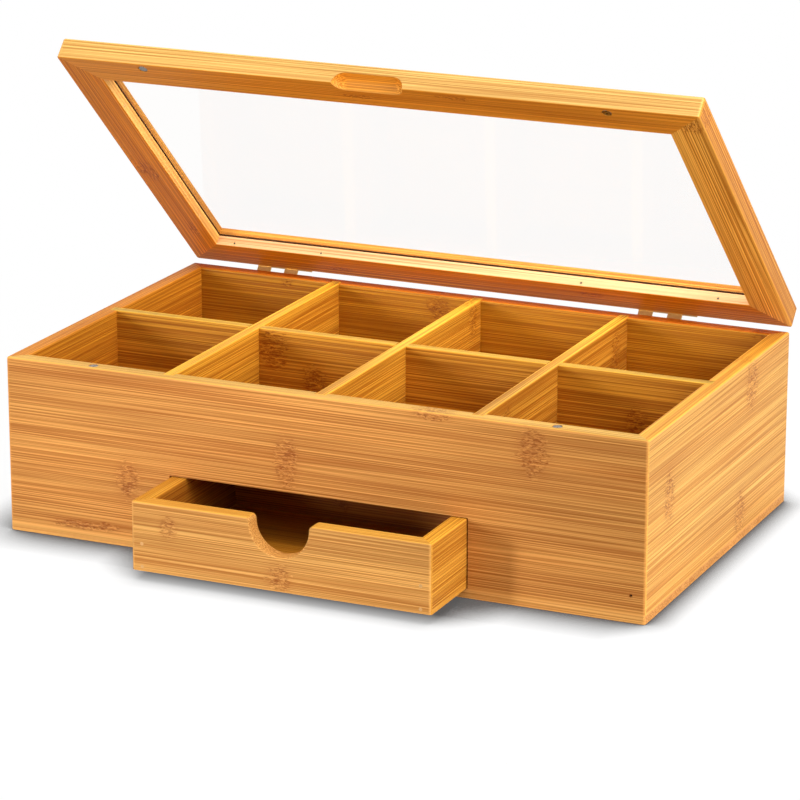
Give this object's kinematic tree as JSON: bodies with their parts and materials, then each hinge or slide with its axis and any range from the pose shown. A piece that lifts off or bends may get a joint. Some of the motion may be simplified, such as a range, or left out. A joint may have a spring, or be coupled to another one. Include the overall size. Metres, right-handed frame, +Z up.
{
  "type": "tea bag drawer box",
  "caption": "Bamboo tea box: divided compartments under a hinged, magnet-closed lid with a clear window, and a low drawer that slides out below them.",
  "frame": {"origin": "centre of the underside of the base", "axes": "+Z up, front faces -Y, +X to the right seen from the front; lid part open and drawer part out at rest"},
  "size_m": [0.35, 0.2635, 0.2457],
  "materials": {
    "bamboo": "laminated bamboo, sanded, thin clear satin lacquer",
    "clear_acrylic": "clear acrylic sheet with sawn edges",
    "brass": "stamped and rolled brass, lightly polished",
    "nickel": "nickel plated magnet",
    "steel": "bright steel wire brads"
  },
  "bodies": {
    "case": {"base_panel": "bamboo", "front_wall": "bamboo", "back_wall": "bamboo", "left_wall": "bamboo", "right_wall": "bamboo", "compartment_floor": "bamboo", "long_divider": "bamboo", "cross_divider_1": "bamboo", "cross_divider_2": "bamboo", "cross_divider_3": "bamboo", "drawer_guide_left": "bamboo", "drawer_guide_right": "bamboo", "drawer_stop": "bamboo", "case_magnets": "nickel", "case_hinge_leaf_left": "brass", "case_hinge_leaf_right": "brass", "hinge_pin_left": "brass", "hinge_pin_right": "brass", "case_hinge_screws": "brass", "corner_brad": "steel"},
    "lid": {"lid_front_rail": "bamboo", "lid_back_rail": "bamboo", "lid_left_rail": "bamboo", "lid_right_rail": "bamboo", "lid_window": "clear_acrylic", "window_bead_front": "bamboo", "window_bead_back": "bamboo", "window_bead_left": "bamboo", "window_bead_right": "bamboo", "bead_brads": "steel", "lid_magnets": "nickel", "lid_hinge_leaf_left": "brass", "lid_hinge_leaf_right": "brass", "lid_hinge_screws": "brass"},
    "drawer": {"drawer_front": "bamboo", "drawer_left": "bamboo", "drawer_right": "bamboo", "drawer_back": "bamboo", "drawer_bottom": "bamboo", "drawer_brads": "steel"}
  },
  "joints": [
    {"name": "lid_hinge", "type": "hinge", "parent": "case", "child": "lid", "pos_m": [0, 0.1079, 0.0895], "axis": [-1, 0, 0], "range_deg": [-43, 57]},
    {"name": "drawer_slide", "type": "slide", "parent": "case", "child": "drawer", "axis": [0, -1, 0], "range_m": [-0.0425, 0.0335]}
  ]
}
